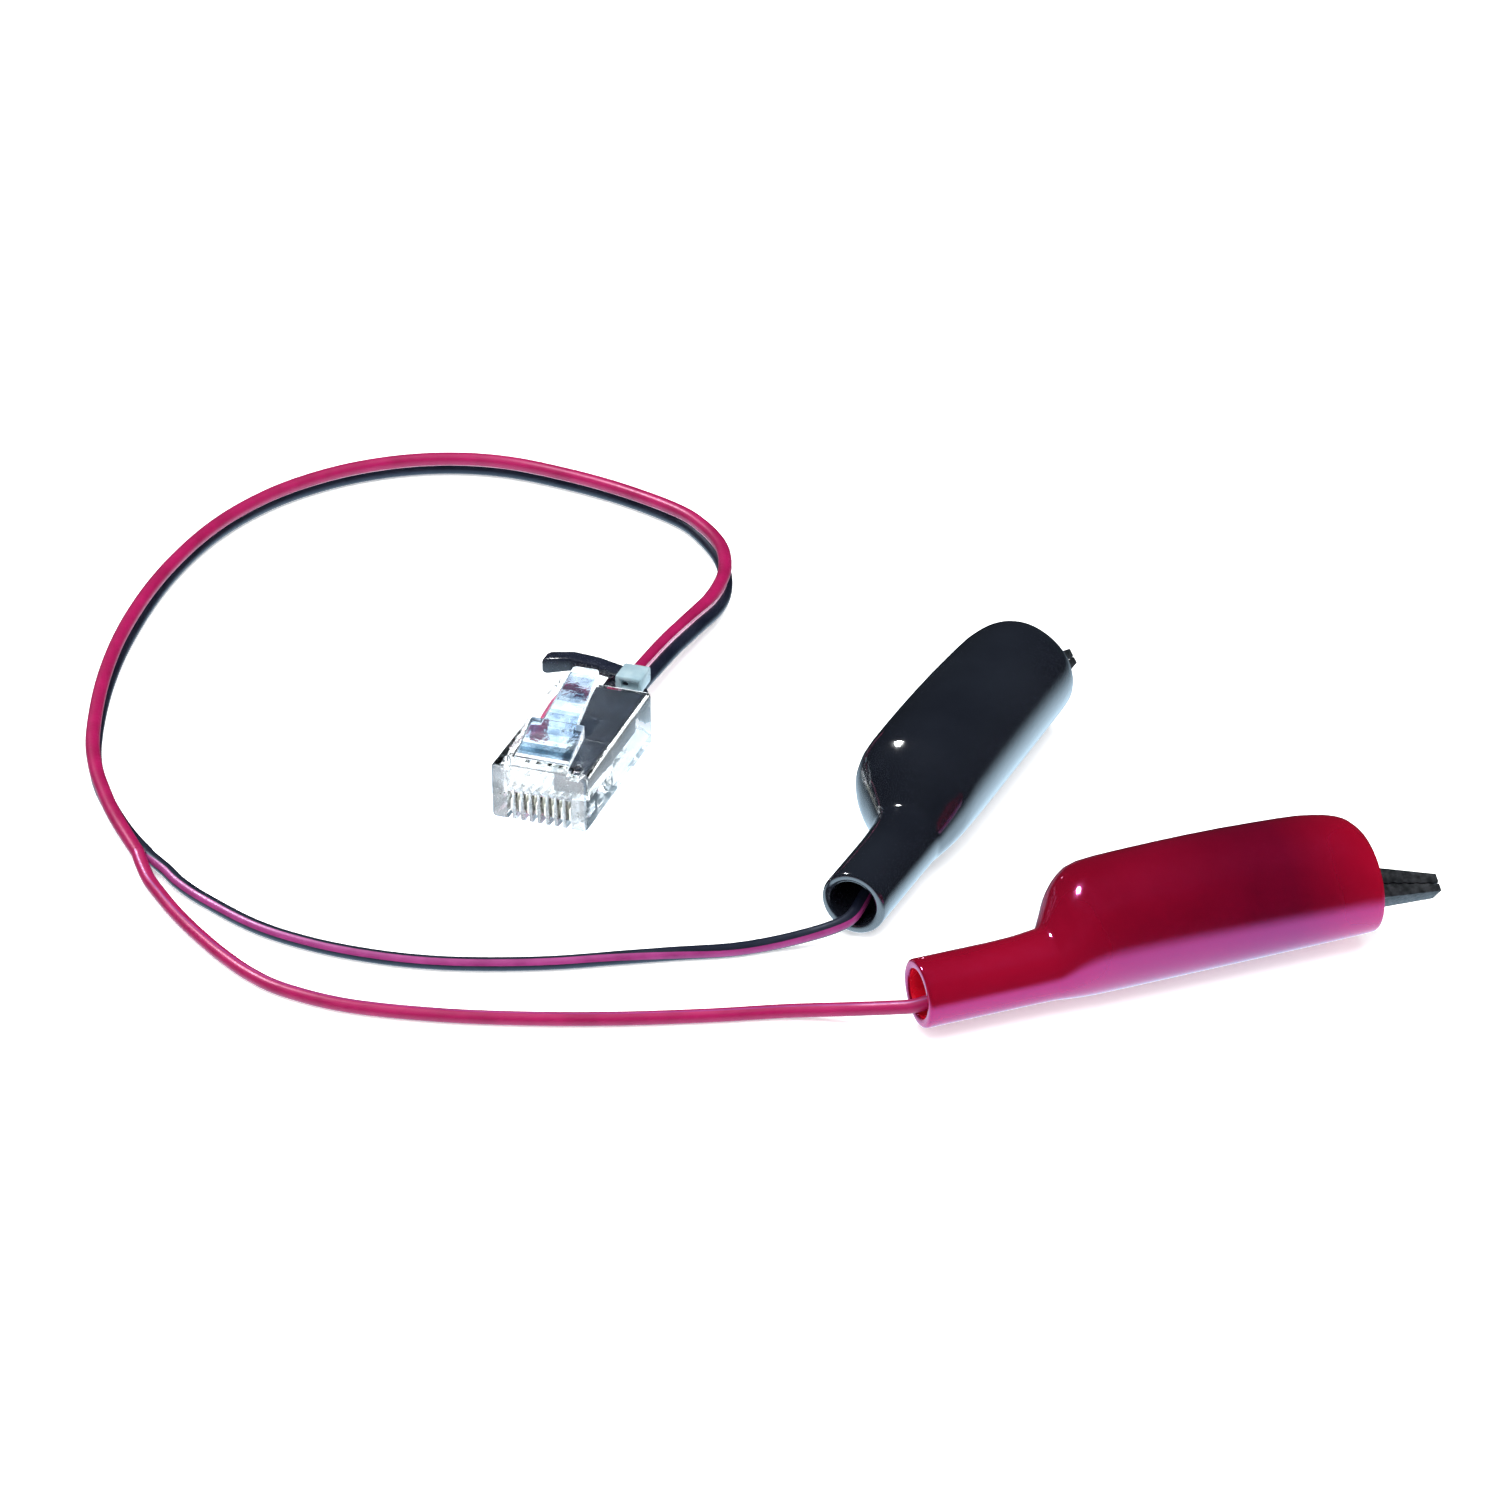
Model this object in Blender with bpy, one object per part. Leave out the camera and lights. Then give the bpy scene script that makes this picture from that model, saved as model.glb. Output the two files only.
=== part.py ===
"""Test lead: a clear 8-position modular plug on a red and black twin cord, which
splits into two legs with booted alligator clips. Metres, +Z up, resting on z = 0."""

import math

import bmesh
import bpy
from mathutils import Euler, Vector

MM = 0.001

# Modular plug, in its own frame: nose at y = 0, rear at +y, latch on top.
PLUG_AT = (-46.74, 7.00)
PLUG_YAW = -18.9
PLUG_WIDTH = 11.68
PLUG_LENGTH = 21.46
PLUG_HEIGHT = 7.0
CONTACT_COUNT = 8
CONTACT_PITCH = 1.02
CONTACT_THICK = 0.32
CONTACT_LENGTH = 4.0
SLOT_WIDTH = 0.62
LATCH_HINGE_Y = 1.25
LATCH_HINGE_Z = 7.6
LATCH_RISE_DEG = 16.0
LATCH_THICK = 0.8
LATCH_WIDE = 6.6
LATCH_TAIL_ROOT = 4.2
LATCH_TAIL_END = 3.2
LATCH_SHOULDER = 5.4
LATCH_LENGTH = 14.8

# Alligator clips, each in its own frame: boot's cord end at x = 0, jaws at +x. Both
# lie on the curve of the boot, rolled about the tube axis, which starts at CLIP_AT.
RED_AT = (-5.20, -35.50, 4.94)
RED_YAW = 20.45
RED_ROLL = 50.0
BLACK_AT = (-11.56, -16.61, 4.22)
BLACK_YAW = 64.5
BLACK_ROLL = 30.0
CLIP_PITCH = 0.7
BOOT_LENGTH = 52.7
BOOT_TUBE = 7.5
BOOT_WALL = 1.05
BOOT_LIP = 0.45
# Boot sections: x, underside, top, width.
BOOT_SECTIONS = (
    (0.0, 0.0, 7.5, 7.5),
    (9.0, 0.0, 7.5, 7.5),
    (14.6, -0.02, 7.9, 7.9),
    (15.9, -0.09, 9.5, 9.6),
    (17.4, -0.18, 11.8, 12.1),
    (18.9, -0.25, 13.25, 13.7),
    (20.5, -0.28, 14.05, 14.5),
    (24.0, -0.28, 14.3, 14.8),
    (34.0, -0.28, 14.45, 14.2),
    (46.0, -0.26, 14.1, 13.05),
    (49.5, -0.24, 13.6, 12.6),
    (51.6, -0.21, 12.9, 12.0),
    (52.7, -0.17, 11.8, 11.1),
)
CLIP_TIP = 61.4
PIVOT_X = 34.0
PIVOT_Z = 8.2
RIVET_RADIUS = 1.1
SHEET = 0.6

# Cord.
PAIR_DIAMETER = 3.3
LEAD_DIAMETER = 1.5
PAIR_ROUTE = (
    (-40.24, 23.15, 3.6),
    (-38.94, 26.95, 3.6),
    (-37.04, 32.15, 3.5),
    (-34.94, 37.75, 3.3),
    (-32.44, 44.15, 3.0),
    (-29.64, 50.35, 2.7),
    (-27.34, 55.75, 2.3),
    (-26.14, 60.75, 2.0),
    (-25.84, 65.55, 1.8),
    (-26.54, 70.95, 1.7),
    (-28.84, 76.55, 1.7),
    (-32.14, 81.25, 1.7),
    (-39.34, 87.15, 1.7),
    (-47.04, 91.75, 1.7),
    (-54.94, 95.15, 1.7),
    (-62.74, 96.15, 1.7),
    (-70.54, 94.85, 1.7),
    (-78.04, 91.35, 1.7),
    (-85.14, 85.35, 1.7),
    (-91.24, 76.35, 1.7),
    (-95.94, 64.05, 1.7),
    (-98.84, 50.15, 1.7),
    (-99.94, 36.85, 1.7),
    (-99.54, 23.75, 1.7),
    (-98.2, 15.95, 1.7),
    (-96.2, 9.75, 1.7),
    (-93.7, 3.75, 1.7),
    (-90.62, -2.2, 1.7),
)
RED_ROUTE = (
    (-90.83, -3.85, 1.4),
    (-89.57, -6.31, 0.95),
    (-87.88, -9.47, 0.85),
    (-86.11, -12.56, 0.8),
    (-84.22, -15.56, 0.8),
    (-82.14, -18.52, 0.8),
    (-79.78, -21.63, 0.8),
    (-76.44, -25.36, 0.8),
    (-72.44, -28.45, 0.8),
    (-65.44, -31.45, 0.8),
    (-55.74, -33.25, 0.8),
    (-45.94, -33.95, 0.8),
    (-36.64, -33.95, 0.8),
    (-27.04, -33.35, 0.8),
    (-18.94, -32.65, 0.9),
    (-12.34, -33.35, 1.6),
    (-8.04, -34.65, 2.65),
    (-5.24, -35.45, 3.45),
    (-2.44, -34.65, 4.2),
    (0.36, -33.45, 4.75),
)
BLACK_ROUTE = (
    (-89.0, -3.0, 1.35),
    (-87.6, -5.2, 1.3),
    (-85.94, -7.45, 1.1),
    (-82.74, -10.55, 0.8),
    (-76.54, -15.95, 0.8),
    (-69.94, -19.55, 0.8),
    (-63.14, -21.85, 0.8),
    (-56.74, -23.05, 0.8),
    (-50.24, -23.35, 0.8),
    (-43.64, -23.05, 0.8),
    (-37.34, -22.15, 0.8),
    (-30.84, -21.25, 0.8),
    (-24.94, -20.55, 0.8),
    (-20.54, -19.45, 0.9),
    (-16.54, -18.65, 1.5),
    (-13.54, -18.25, 2.35),
    (-11.74, -17.35, 2.95),
    (-10.34, -14.45, 3.55),
    (-8.99, -11.25, 4.1),
)

CLEAR = ((0.80, 0.88, 0.92), 0.08, 0.0, 0.9)
GOLD = ((0.83, 0.62, 0.25), 0.25, 1.0, 0.0)
STEEL = ((0.22, 0.23, 0.25), 0.35, 1.0, 0.0)
SPRING_STEEL = ((0.45, 0.46, 0.48), 0.3, 1.0, 0.0)
COPPER = ((0.72, 0.38, 0.22), 0.35, 1.0, 0.0)
RED_VINYL = ((0.48, 0.01, 0.05), 0.25, 0.0, 0.0)
BLACK_VINYL = ((0.012, 0.013, 0.018), 0.25, 0.0, 0.0)


def clear_scene():
    for old in list(bpy.data.objects):
        bpy.data.objects.remove(old, do_unlink=True)


def material(name, look):
    colour, roughness, metallic, transmission = look
    made = bpy.data.materials.new(name)
    made.use_nodes = True
    shader = made.node_tree.nodes["Principled BSDF"]
    shader.inputs["Base Color"].default_value = (*colour, 1.0)
    shader.inputs["Roughness"].default_value = roughness
    shader.inputs["Metallic"].default_value = metallic
    shader.inputs["Transmission Weight"].default_value = transmission
    made.diffuse_color = (*colour, 1.0)
    return made


def add_object(name, mesh, look, parent, origin=(0.0, 0.0, 0.0)):
    """Puts a mesh given in millimetres, with its origin on `origin`, in the scene."""
    shift = Vector(origin)
    for vertex in mesh.verts:
        vertex.co = (vertex.co - shift) * MM
    bmesh.ops.recalc_face_normals(mesh, faces=mesh.faces)
    data = bpy.data.meshes.new(name)
    mesh.to_mesh(data)
    mesh.free()
    if look is not None:
        data.materials.append(material(name, look))
    made = bpy.data.objects.new(name, data)
    bpy.context.scene.collection.objects.link(made)
    made.parent = parent
    made.location = shift * MM
    return made


def frame(name, at, yaw, roll=0.0, pitch=0.0, seat=0.0):
    """An empty at a point; seat is the local height that falls on that point."""
    made = bpy.data.objects.new(name, None)
    bpy.context.scene.collection.objects.link(made)
    turn = Euler((math.radians(-roll), math.radians(-pitch), math.radians(yaw)))
    drop = turn.to_matrix() @ Vector((0.0, 0.0, -seat))
    made.location = (Vector((at[0], at[1], at[2] if len(at) > 2 else 0.0)) + drop) * MM
    made.rotation_euler = turn
    return made


def loft(rings, closed=False):
    """A solid through rings of equal point counts: capped, or joined end to start."""
    mesh = bmesh.new()
    rows = [[mesh.verts.new(point) for point in ring] for ring in rings]
    count = len(rows[0])
    spans = len(rows) if closed else len(rows) - 1
    for index in range(spans):
        near = rows[index]
        far = rows[(index + 1) % len(rows)]
        for step in range(count):
            after = (step + 1) % count
            mesh.faces.new((near[step], near[after], far[after], far[step]))
    if not closed:
        mesh.faces.new(rows[0])
        mesh.faces.new(rows[-1])
    return mesh


def box(x0, x1, y0, y1, z0, z1):
    rings = []
    for y in (y0, y1):
        rings.append([(x0, y, z0), (x1, y, z0), (x1, y, z1), (x0, y, z1)])
    return loft(rings)


def prism(outline, low, high, axis):
    """An outline pushed along x or along z."""
    rings = []
    for level in (low, high):
        if axis == "x":
            rings.append([(level, a, b) for a, b in outline])
        else:
            rings.append([(a, b, level) for a, b in outline])
    return loft(rings)


def cylinder_y(x, z, radius, y0, y1, sides=20):
    rings = []
    for y in (y0, y1):
        ring = []
        for step in range(sides):
            turn = 2.0 * math.pi * step / sides
            ring.append((x + radius * math.cos(turn), y, z + radius * math.sin(turn)))
        rings.append(ring)
    return loft(rings)


def boolean(target, mesh, operation, parent):
    tool = add_object(f"{target.name}_tool", mesh, None, parent)
    tool.hide_render = True
    tool.display_type = "WIRE"
    change = target.modifiers.new(operation.lower(), "BOOLEAN")
    change.operation = operation
    change.solver = "EXACT"
    change.object = tool


def smooth_route(points, spacing):
    """Points at an even spacing on the smooth curve through the route."""
    corners = [Vector(point) for point in points]
    first = corners[0] * 2 - corners[1]
    last = corners[-1] * 2 - corners[-2]
    padded = [first, *corners, last]
    fine = []
    for index in range(1, len(padded) - 2):
        a, b, c, d = padded[index - 1 : index + 3]
        for step in range(16):
            t = step / 16
            curve = 2 * b + (c - a) * t
            curve += (2 * a - 5 * b + 4 * c - d) * t * t
            curve += (3 * b - a - 3 * c + d) * t * t * t
            fine.append(curve * 0.5)
    fine.append(corners[-1])
    lengths = [0.0]
    for before, after in zip(fine, fine[1:]):
        lengths.append(lengths[-1] + (after - before).length)
    count = max(2, round(lengths[-1] / spacing))
    kept = []
    place = 0
    for step in range(count + 1):
        wanted = lengths[-1] * step / count
        while place < len(fine) - 2 and lengths[place + 1] < wanted:
            place += 1
        share = (wanted - lengths[place]) / (lengths[place + 1] - lengths[place])
        kept.append(fine[place].lerp(fine[place + 1], share))
    return kept


def cord(name, points, diameter, spacing, look, parent=None, fineness=2):
    """A round cord as one closed tube."""
    data = bpy.data.curves.new(name, "CURVE")
    data.dimensions = "3D"
    data.bevel_depth = diameter / 2 * MM
    data.bevel_resolution = fineness
    data.use_fill_caps = True
    route = smooth_route(points, spacing)
    spline = data.splines.new("POLY")
    spline.points.add(len(route) - 1)
    for point, place in zip(spline.points, route):
        point.co = (*(place * MM), 1.0)
    data.materials.append(material(name, look))
    made = bpy.data.objects.new(name, data)
    bpy.context.scene.collection.objects.link(made)
    made.parent = parent
    return made


def build_housing(plug):
    half = PLUG_WIDTH / 2
    edge = 0.35
    outline = [
        (-half + edge, 0.0),
        (half - edge, 0.0),
        (half, edge),
        (half, PLUG_HEIGHT - edge),
        (half - edge, PLUG_HEIGHT),
        (-half + edge, PLUG_HEIGHT),
        (-half, PLUG_HEIGHT - edge),
        (-half, edge),
    ]
    rings = []
    for y in (0.0, PLUG_LENGTH):
        rings.append([(x, y, z) for x, z in outline])
    housing = add_object("plug_housing", loft(rings), CLEAR, plug)
    root = box(-3.4, 3.4, 0.0, 0.5, PLUG_HEIGHT - 0.5, LATCH_HINGE_Z + 0.35)
    boolean(housing, root, "UNION", plug)
    cavity = box(-5.2, 5.2, 9.0, PLUG_LENGTH + 1.0, 1.3, 6.4)
    boolean(housing, cavity, "DIFFERENCE", plug)
    channels = box(-4.2, 5.15, 1.7, 9.5, 3.5, 6.35)
    boolean(housing, channels, "DIFFERENCE", plug)
    window = box(-3.4, 3.4, 11.6, 16.6, -1.0, 2.0)
    boolean(housing, window, "DIFFERENCE", plug)
    for index in range(CONTACT_COUNT):
        middle = (index - (CONTACT_COUNT - 1) / 2) * CONTACT_PITCH
        reach = SLOT_WIDTH / 2
        slot = box(middle - reach, middle + reach, -1.0, 5.2, -1.0, 3.8)
        boolean(housing, slot, "DIFFERENCE", plug)


def build_contacts(plug):
    for index in range(CONTACT_COUNT):
        middle = (index - (CONTACT_COUNT - 1) / 2) * CONTACT_PITCH
        outline = [
            (0.7, 0.9),
            (1.2, 0.4),
            (0.7 + CONTACT_LENGTH, 0.4),
            (0.7 + CONTACT_LENGTH, 3.2),
            (4.1, 3.2),
            (3.7, 2.6),
            (3.3, 3.2),
            (2.6, 3.2),
            (2.2, 2.6),
            (0.7, 2.2),
        ]
        low = middle - CONTACT_THICK / 2
        high = middle + CONTACT_THICK / 2
        blade = prism(outline, low, high, "x")
        add_object(f"contact_{index + 1}", blade, GOLD, plug)


def build_latch(plug):
    hinge = (0.0, LATCH_HINGE_Y, LATCH_HINGE_Z)
    rise = math.tan(math.radians(LATCH_RISE_DEG))
    half = LATCH_THICK / 2
    stations = (
        (-0.32, 0.10, LATCH_WIDE),
        (-0.22, 0.26, LATCH_WIDE),
        (0.0, half, LATCH_WIDE),
        (LATCH_SHOULDER - 0.1, half, LATCH_WIDE),
        (LATCH_SHOULDER, half, LATCH_TAIL_ROOT),
        (LATCH_LENGTH - 0.4, half, LATCH_TAIL_END),
        (LATCH_LENGTH, 0.2, LATCH_TAIL_END - 0.6),
    )
    rings = []
    for along, thick, width in stations:
        y = hinge[1] + along
        z = hinge[2] + max(along, 0.0) * rise
        side = width / 2
        low = z - thick
        top = z + thick
        rings.append([(-side, y, low), (side, y, low), (side, y, top), (-side, y, top)])
    add_object("latch_lever", loft(rings), CLEAR, plug, hinge)


def build_plug_inside(plug):
    """The red conductor laid down one side, and a black sleeve that fills the other."""
    wedge = [(11.9, 0.5), (16.3, 0.5), (16.3, 1.0), (13.6, 1.75), (11.9, 1.75)]
    add_object("strain_relief_wedge", prism(wedge, -3.1, 3.1, "x"), CLEAR, plug)
    red = (
        (-1.8, 20.6, 4.1),
        (-3.2, 20.4, 4.8),
        (-4.2, 18.8, 5.2),
        (-4.3, 15.5, 5.3),
        (-4.1, 12.5, 5.0),
        (-3.4, 10.6, 4.4),
    )
    cord("plug_red_conductor", red, LEAD_DIAMETER, 1.5, RED_VINYL, plug)
    sleeve = []
    for y, low, high, left, right in (
        (2.0, 4.05, 6.1, 1.3, 4.85),
        (9.6, 4.05, 6.15, 0.1, 4.95),
        (16.8, 4.05, 6.15, -0.5, 4.95),
        (17.0, 5.55, 6.15, -0.5, 4.95),
        (21.2, 5.55, 6.15, -1.0, 4.95),
    ):
        sleeve.append([(left, y, low), (right, y, low), (right, y, high), (left, y, high)])
    add_object("plug_black_sleeve", loft(sleeve), BLACK_VINYL, plug)


def build_cord_tie(plug):
    """A small tie: band round the cord behind the plug, head on top, cut tail to the side."""
    sides = 20
    centre_x = 1.15
    centre_z = 3.55
    rings = []
    for y, radius in ((23.2, 2.95), (25.6, 2.95), (25.6, 2.1), (23.2, 2.1)):
        ring = []
        for step in range(sides):
            turn = 2.0 * math.pi * step / sides
            ring.append((centre_x + radius * math.cos(turn), y, centre_z + radius * math.sin(turn)))
        rings.append(ring)
    tie = add_object("cord_tie", loft(rings, closed=True), BLACK_VINYL, plug)
    head = box(0.9, 4.2, 22.5, 25.9, 5.8, 7.8)
    boolean(tie, head, "UNION", plug)
    slot = box(1.6, 3.7, 21.0, 23.8, 6.3, 7.2)
    boolean(tie, slot, "DIFFERENCE", plug)
    tail = []
    strap = ((1.4, 7.0, 1.2), (-2.0, 7.6, 1.4), (-5.2, 7.6, 1.8), (-8.1, 6.9, 2.1), (-8.7, 6.8, 1.6))
    for x, z, high in strap:
        low = z - high / 2
        top = z + high / 2
        tail.append([(x, 23.4, low), (x, 25.4, low), (x, 25.4, top), (x, 23.4, top)])
    boolean(tie, loft(tail), "UNION", plug)


def boot_ring(x, low, high, width, wall=0.0, sides=32):
    """One oval section of a boot, in the plane of that x."""
    ring = []
    centre = (low + high) / 2
    for step in range(sides):
        turn = 2.0 * math.pi * step / sides
        across = math.cos(turn) * (width / 2 - wall)
        up = math.sin(turn) * ((high - low) / 2 - wall)
        ring.append((x, across, centre + up))
    return ring


def build_boot(name, look, clip):
    rings = [boot_ring(*section) for section in BOOT_SECTIONS]
    for section in reversed(BOOT_SECTIONS):
        rings.append(boot_ring(*section, BOOT_LIP if section[0] == BOOT_LENGTH else BOOT_WALL))
    add_object(name, loft(rings, closed=True), look, clip)


def channel(stations, upward):
    """A bent sheet channel. Each station is x, floor height, wall height, half width."""
    rings = []
    for x, floor, wall, half in stations:
        inner = half - SHEET
        sign = 1.0 if upward else -1.0
        web = floor + sign * SHEET
        rings.append(
            [
                (x, -half, floor),
                (x, half, floor),
                (x, half, wall),
                (x, inner, wall),
                (x, inner, web),
                (x, -inner, web),
                (x, -inner, wall),
                (x, -half, wall),
            ]
        )
    return loft(rings)


def teeth(low, start, end, slope_from, slope_to, pitch, depth):
    """Stations of a toothed edge: x and height, up and down in turn, finer to the tip."""
    count = int((end - start) / pitch)
    found = []
    for index in range(count * 2 + 1):
        x = start + (end - start) * index / (count * 2)
        share = (x - start) / (end - start)
        height = slope_from + (slope_to - slope_from) * share
        bite = depth * (1.0 - 0.75 * share) if index % 2 else 0.0
        found.append((x, height - bite if low else height + bite))
    return found


def between(x, x0, x1, value0, value1):
    return value0 + (value1 - value0) * (x - x0) / (x1 - x0)


def build_lower_jaw(name, clip):
    stations = [
        (8.2, 2.2, 3.4, 1.6),
        (13.0, 2.2, 3.4, 1.6),
        (17.0, 2.6, 4.8, 2.4),
        (22.0, 3.4, 5.8, 3.2),
        (28.0, 3.6, 8.6, 3.4),
        (31.0, 3.6, 10.0, 3.4),
        (36.6, 3.6, 10.0, 3.4),
        (38.4, 3.6, 7.2, 3.4),
    ]
    for x, edge in teeth(True, 40.5, CLIP_TIP - 0.6, 6.6, 2.95, 1.3, 0.5):
        floor = between(x, 39.0, CLIP_TIP, 3.6, 2.1)
        stations.append((x, floor, edge, between(x, 39.0, CLIP_TIP, 3.3, 1.3)))
    jaw = add_object(name, channel(stations, True), STEEL, clip)
    hole = cylinder_y(PIVOT_X, PIVOT_Z, RIVET_RADIUS + 0.15, -6.0, 6.0)
    boolean(jaw, hole, "DIFFERENCE", clip)


def build_upper_jaw(name, clip):
    stations = [
        (20.4, 12.1, 11.2, 2.0),
        (21.6, 12.3, 11.0, 2.4),
        (28.0, 12.2, 10.3, 2.4),
        (31.0, 12.1, 6.8, 2.4),
        (36.2, 11.6, 6.8, 2.4),
        (38.4, 11.1, 8.5, 2.4),
        (39.6, 10.8, 8.2, 3.3),
    ]
    for x, edge in teeth(False, 40.5, CLIP_TIP - 0.6, 6.85, 3.2, 1.3, 0.5):
        if x < 53.0:
            top = between(x, 39.0, 53.0, 10.9, 6.4)
        else:
            top = between(x, 53.0, CLIP_TIP, 6.4, 4.0)
        stations.append((x, top, edge, between(x, 39.0, CLIP_TIP, 3.3, 1.3)))
    pivot = (PIVOT_X, 0.0, PIVOT_Z)
    jaw = add_object(name, channel(stations, False), STEEL, clip, pivot)
    hole = cylinder_y(PIVOT_X, PIVOT_Z, RIVET_RADIUS + 0.05, -6.0, 6.0)
    boolean(jaw, hole, "DIFFERENCE", clip)


def build_rivet(name, clip):
    rings = []
    steps = ((-4.1, 1.8), (-3.65, 1.8), (-3.65, RIVET_RADIUS), (3.65, RIVET_RADIUS), (3.65, 1.8), (4.1, 1.8))
    for y, radius in steps:
        ring = []
        for step in range(20):
            turn = 2.0 * math.pi * step / 20
            ring.append((PIVOT_X + radius * math.cos(turn), y, PIVOT_Z + radius * math.sin(turn)))
        rings.append(ring)
    add_object(name, loft(rings), STEEL, clip, (PIVOT_X, 0.0, PIVOT_Z))


def build_spring(name, clip):
    """A torsion spring: coil round the rivet, one leg under the lever, one on the floor."""
    points = [(27.0, -1.3, 4.8), (30.6, -1.3, 5.6)]
    turns = 3.0
    steps = 36
    for step in range(steps + 1):
        share = step / steps
        turn = math.radians(210.0) + 2.0 * math.pi * turns * share - math.radians(30.0) * share
        y = -1.3 + 2.6 * share
        points.append((PIVOT_X + 1.75 * math.cos(turn), y, PIVOT_Z + 1.75 * math.sin(turn)))
    points += [(30.6, 1.3, 10.2), (26.0, 1.3, 11.1)]
    cord(name, points, 0.6, 1.0, SPRING_STEEL, clip, 1)


def build_strands(name, clip):
    points = ((6.9, 0.0, 3.75), (8.4, 0.0, 3.75), (9.6, 0.0, 3.75), (15.0, 0.0, 3.85))
    cord(name, points, 1.0, 1.5, COPPER, clip, 1)


def build_clip(colour, look, at, yaw, roll):
    clip = frame(f"{colour}_clip", at, yaw, roll, CLIP_PITCH, BOOT_TUBE / 2)
    build_boot(f"{colour}_boot", look, clip)
    build_lower_jaw(f"{colour}_lower_jaw", clip)
    build_upper_jaw(f"{colour}_upper_jaw", clip)
    build_rivet(f"{colour}_rivet", clip)
    build_spring(f"{colour}_spring", clip)
    build_strands(f"{colour}_strands", clip)


clear_scene()
plug_frame = frame("plug", PLUG_AT, PLUG_YAW)
build_housing(plug_frame)
build_contacts(plug_frame)
build_latch(plug_frame)
build_plug_inside(plug_frame)
build_cord_tie(plug_frame)
build_clip("red", RED_VINYL, RED_AT, RED_YAW, RED_ROLL)
build_clip("black", BLACK_VINYL, BLACK_AT, BLACK_YAW, BLACK_ROLL)
cord("cord_pair", PAIR_ROUTE, PAIR_DIAMETER, 6.0, BLACK_VINYL)
cord("red_lead", RED_ROUTE, LEAD_DIAMETER, 3.6, RED_VINYL)
cord("black_lead", BLACK_ROUTE, LEAD_DIAMETER, 3.6, BLACK_VINYL)
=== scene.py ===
"""Looks of the test lead: camera, floor, light, and the detailed pieces that ride on
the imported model. Sub-assemblies are drawn in millimetres in their own frames."""

import math

import bmesh
import bpy
from mathutils import Euler, Matrix, Vector


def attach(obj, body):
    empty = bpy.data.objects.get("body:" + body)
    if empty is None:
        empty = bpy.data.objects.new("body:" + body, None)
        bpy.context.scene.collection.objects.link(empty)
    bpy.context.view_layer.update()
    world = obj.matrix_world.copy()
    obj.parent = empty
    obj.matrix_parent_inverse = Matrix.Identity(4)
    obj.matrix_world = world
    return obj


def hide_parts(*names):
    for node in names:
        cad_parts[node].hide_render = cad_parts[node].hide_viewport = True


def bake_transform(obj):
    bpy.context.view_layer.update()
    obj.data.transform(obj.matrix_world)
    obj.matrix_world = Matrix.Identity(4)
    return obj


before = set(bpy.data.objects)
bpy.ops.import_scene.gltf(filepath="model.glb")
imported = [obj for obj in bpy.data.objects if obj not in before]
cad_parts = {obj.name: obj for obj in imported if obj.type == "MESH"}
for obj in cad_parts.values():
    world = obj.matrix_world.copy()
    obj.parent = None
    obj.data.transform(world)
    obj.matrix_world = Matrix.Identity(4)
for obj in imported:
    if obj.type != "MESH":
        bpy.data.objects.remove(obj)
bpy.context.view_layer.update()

MM = 0.001

# Where the sub-assemblies stand, as in the CAD.
PLUG_AT = (-46.74, 7.0)
PLUG_YAW = -18.9
# Each clip: start of its tube's axis, yaw, roll about that axis. Both pitch up alike.
CLIPS = {
    "red": ((-5.2, -35.5, 4.94), 20.45, 50.0),
    "black": ((-11.56, -16.61, 4.22), 64.5, 30.0),
}
CLIP_PITCH = 0.7
TUBE_AXIS_Z = 3.75

LEAD_DIAMETER = 1.5
PAIR_ROUTE = (
    (-40.24, 23.15, 3.6),
    (-38.94, 26.95, 3.6),
    (-37.04, 32.15, 3.5),
    (-34.94, 37.75, 3.3),
    (-32.44, 44.15, 3.0),
    (-29.64, 50.35, 2.7),
    (-27.34, 55.75, 2.3),
    (-26.14, 60.75, 2.0),
    (-25.84, 65.55, 1.8),
    (-26.54, 70.95, 1.7),
    (-28.84, 76.55, 1.7),
    (-32.14, 81.25, 1.7),
    (-39.34, 87.15, 1.7),
    (-47.04, 91.75, 1.7),
    (-54.94, 95.15, 1.7),
    (-62.74, 96.15, 1.7),
    (-70.54, 94.85, 1.7),
    (-78.04, 91.35, 1.7),
    (-85.14, 85.35, 1.7),
    (-91.24, 76.35, 1.7),
    (-95.94, 64.05, 1.7),
    (-98.84, 50.15, 1.7),
    (-99.94, 36.85, 1.7),
    (-99.54, 23.75, 1.7),
    (-98.2, 15.95, 1.7),
    (-96.2, 9.75, 1.7),
    (-93.7, 3.75, 1.7),
    (-90.62, -2.2, 1.7),
)
# The first four points of each leg leave their lobe of the twin cord.
RED_ROUTE = (
    (-91.58, -1.56, 2.09),
    (-91.18, -2.49, 2.06),
    (-90.68, -3.8, 1.6),
    (-89.57, -6.31, 0.95),
    (-87.88, -9.47, 0.85),
    (-86.11, -12.56, 0.8),
    (-84.22, -15.56, 0.8),
    (-82.14, -18.52, 0.8),
    (-79.78, -21.63, 0.8),
    (-76.44, -25.36, 0.8),
    (-72.44, -28.45, 0.8),
    (-65.44, -31.45, 0.8),
    (-55.74, -33.25, 0.8),
    (-45.94, -33.95, 0.8),
    (-36.64, -33.95, 0.8),
    (-27.04, -33.35, 0.8),
    (-18.94, -32.65, 0.9),
    (-12.34, -33.35, 1.6),
    (-8.04, -34.65, 2.65),
    (-5.24, -35.45, 3.45),
    (-2.44, -34.65, 4.2),
    (0.36, -33.45, 4.75),
)
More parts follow.
